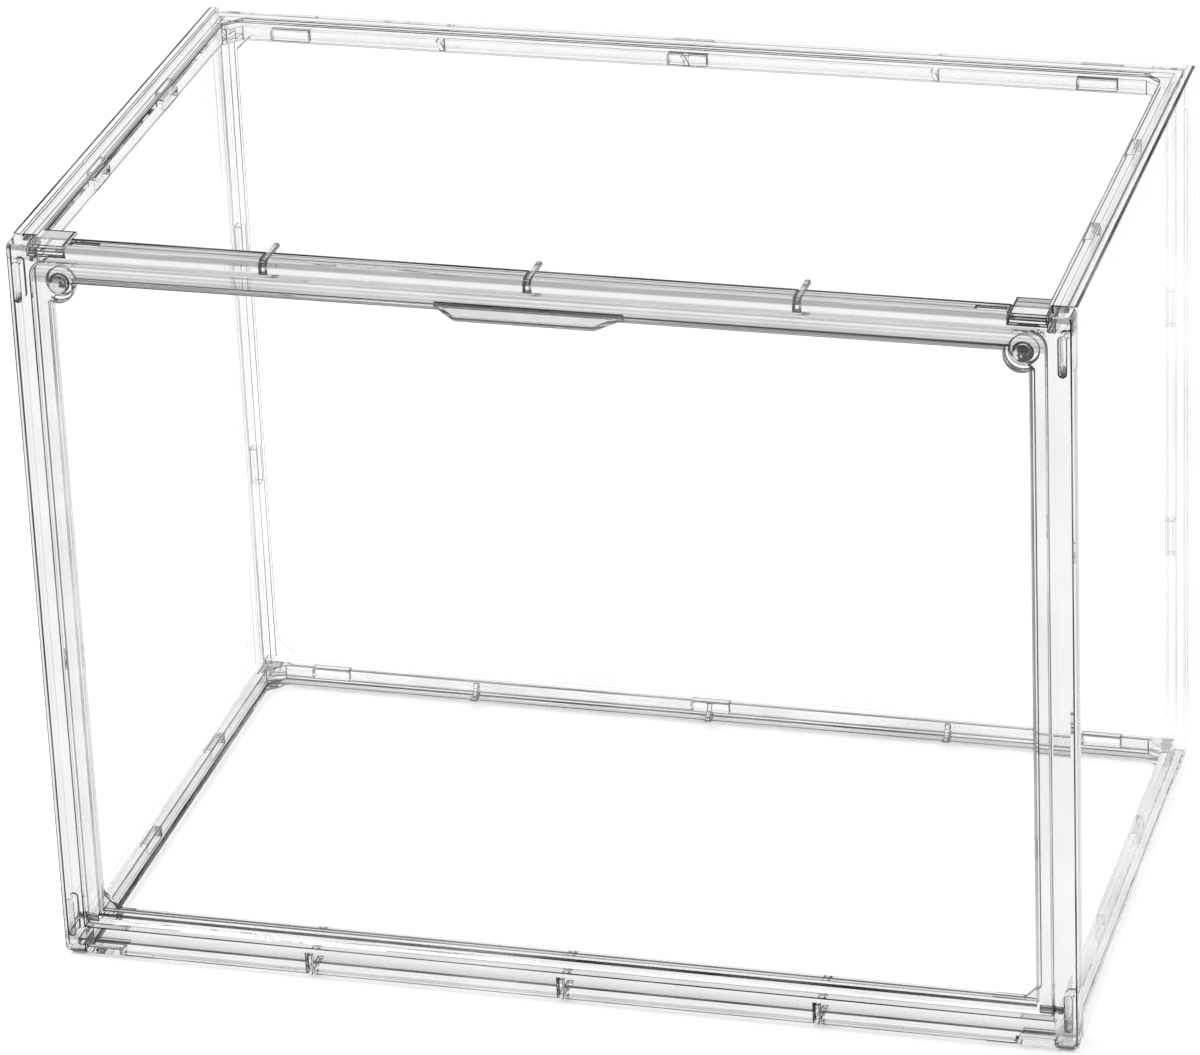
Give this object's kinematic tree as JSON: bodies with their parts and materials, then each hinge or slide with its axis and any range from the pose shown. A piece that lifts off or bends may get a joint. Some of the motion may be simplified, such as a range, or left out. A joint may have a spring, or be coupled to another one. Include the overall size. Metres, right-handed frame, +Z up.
{
  "type": "book display box",
  "caption": "Clear rectangular display box of snap-together panels, with a magnetic front door that swings down to let books or keepsakes in.",
  "frame": {"origin": "on the floor, under the middle of the whole object with its grip lip", "axes": "+X to the right along the front, +Y from the door to the back, +Z up; the door faces -Y"},
  "size_m": [0.36, 0.226, 0.27],
  "materials": {
    "clear_plastic": "clear, polished",
    "magnet_metal": "bright plated",
    "pin_steel": "drawn wire, bright",
    "foot_pad": "soft, satin"
  },
  "bodies": {
    "box": {"base_panel": "clear_plastic", "top_panel": "clear_plastic", "left_panel": "clear_plastic", "right_panel": "clear_plastic", "back_panel": "clear_plastic", "front_frame": "clear_plastic", "frame_magnet_left": "magnet_metal", "frame_magnet_right": "magnet_metal", "hinge_pin_left": "pin_steel", "hinge_pin_right": "pin_steel", "foot_front_left": "foot_pad", "foot_front_right": "foot_pad", "foot_back_left": "foot_pad", "foot_back_right": "foot_pad"},
    "door": {"door_panel": "clear_plastic", "door_magnet_left": "magnet_metal", "door_magnet_right": "magnet_metal"}
  },
  "joints": [
    {"name": "door_hinge", "type": "hinge", "parent": "box", "child": "door", "pos_m": [0, -0.1039, 0.0153], "axis": [1, 0, 0], "range_deg": [0, 90]}
  ]
}
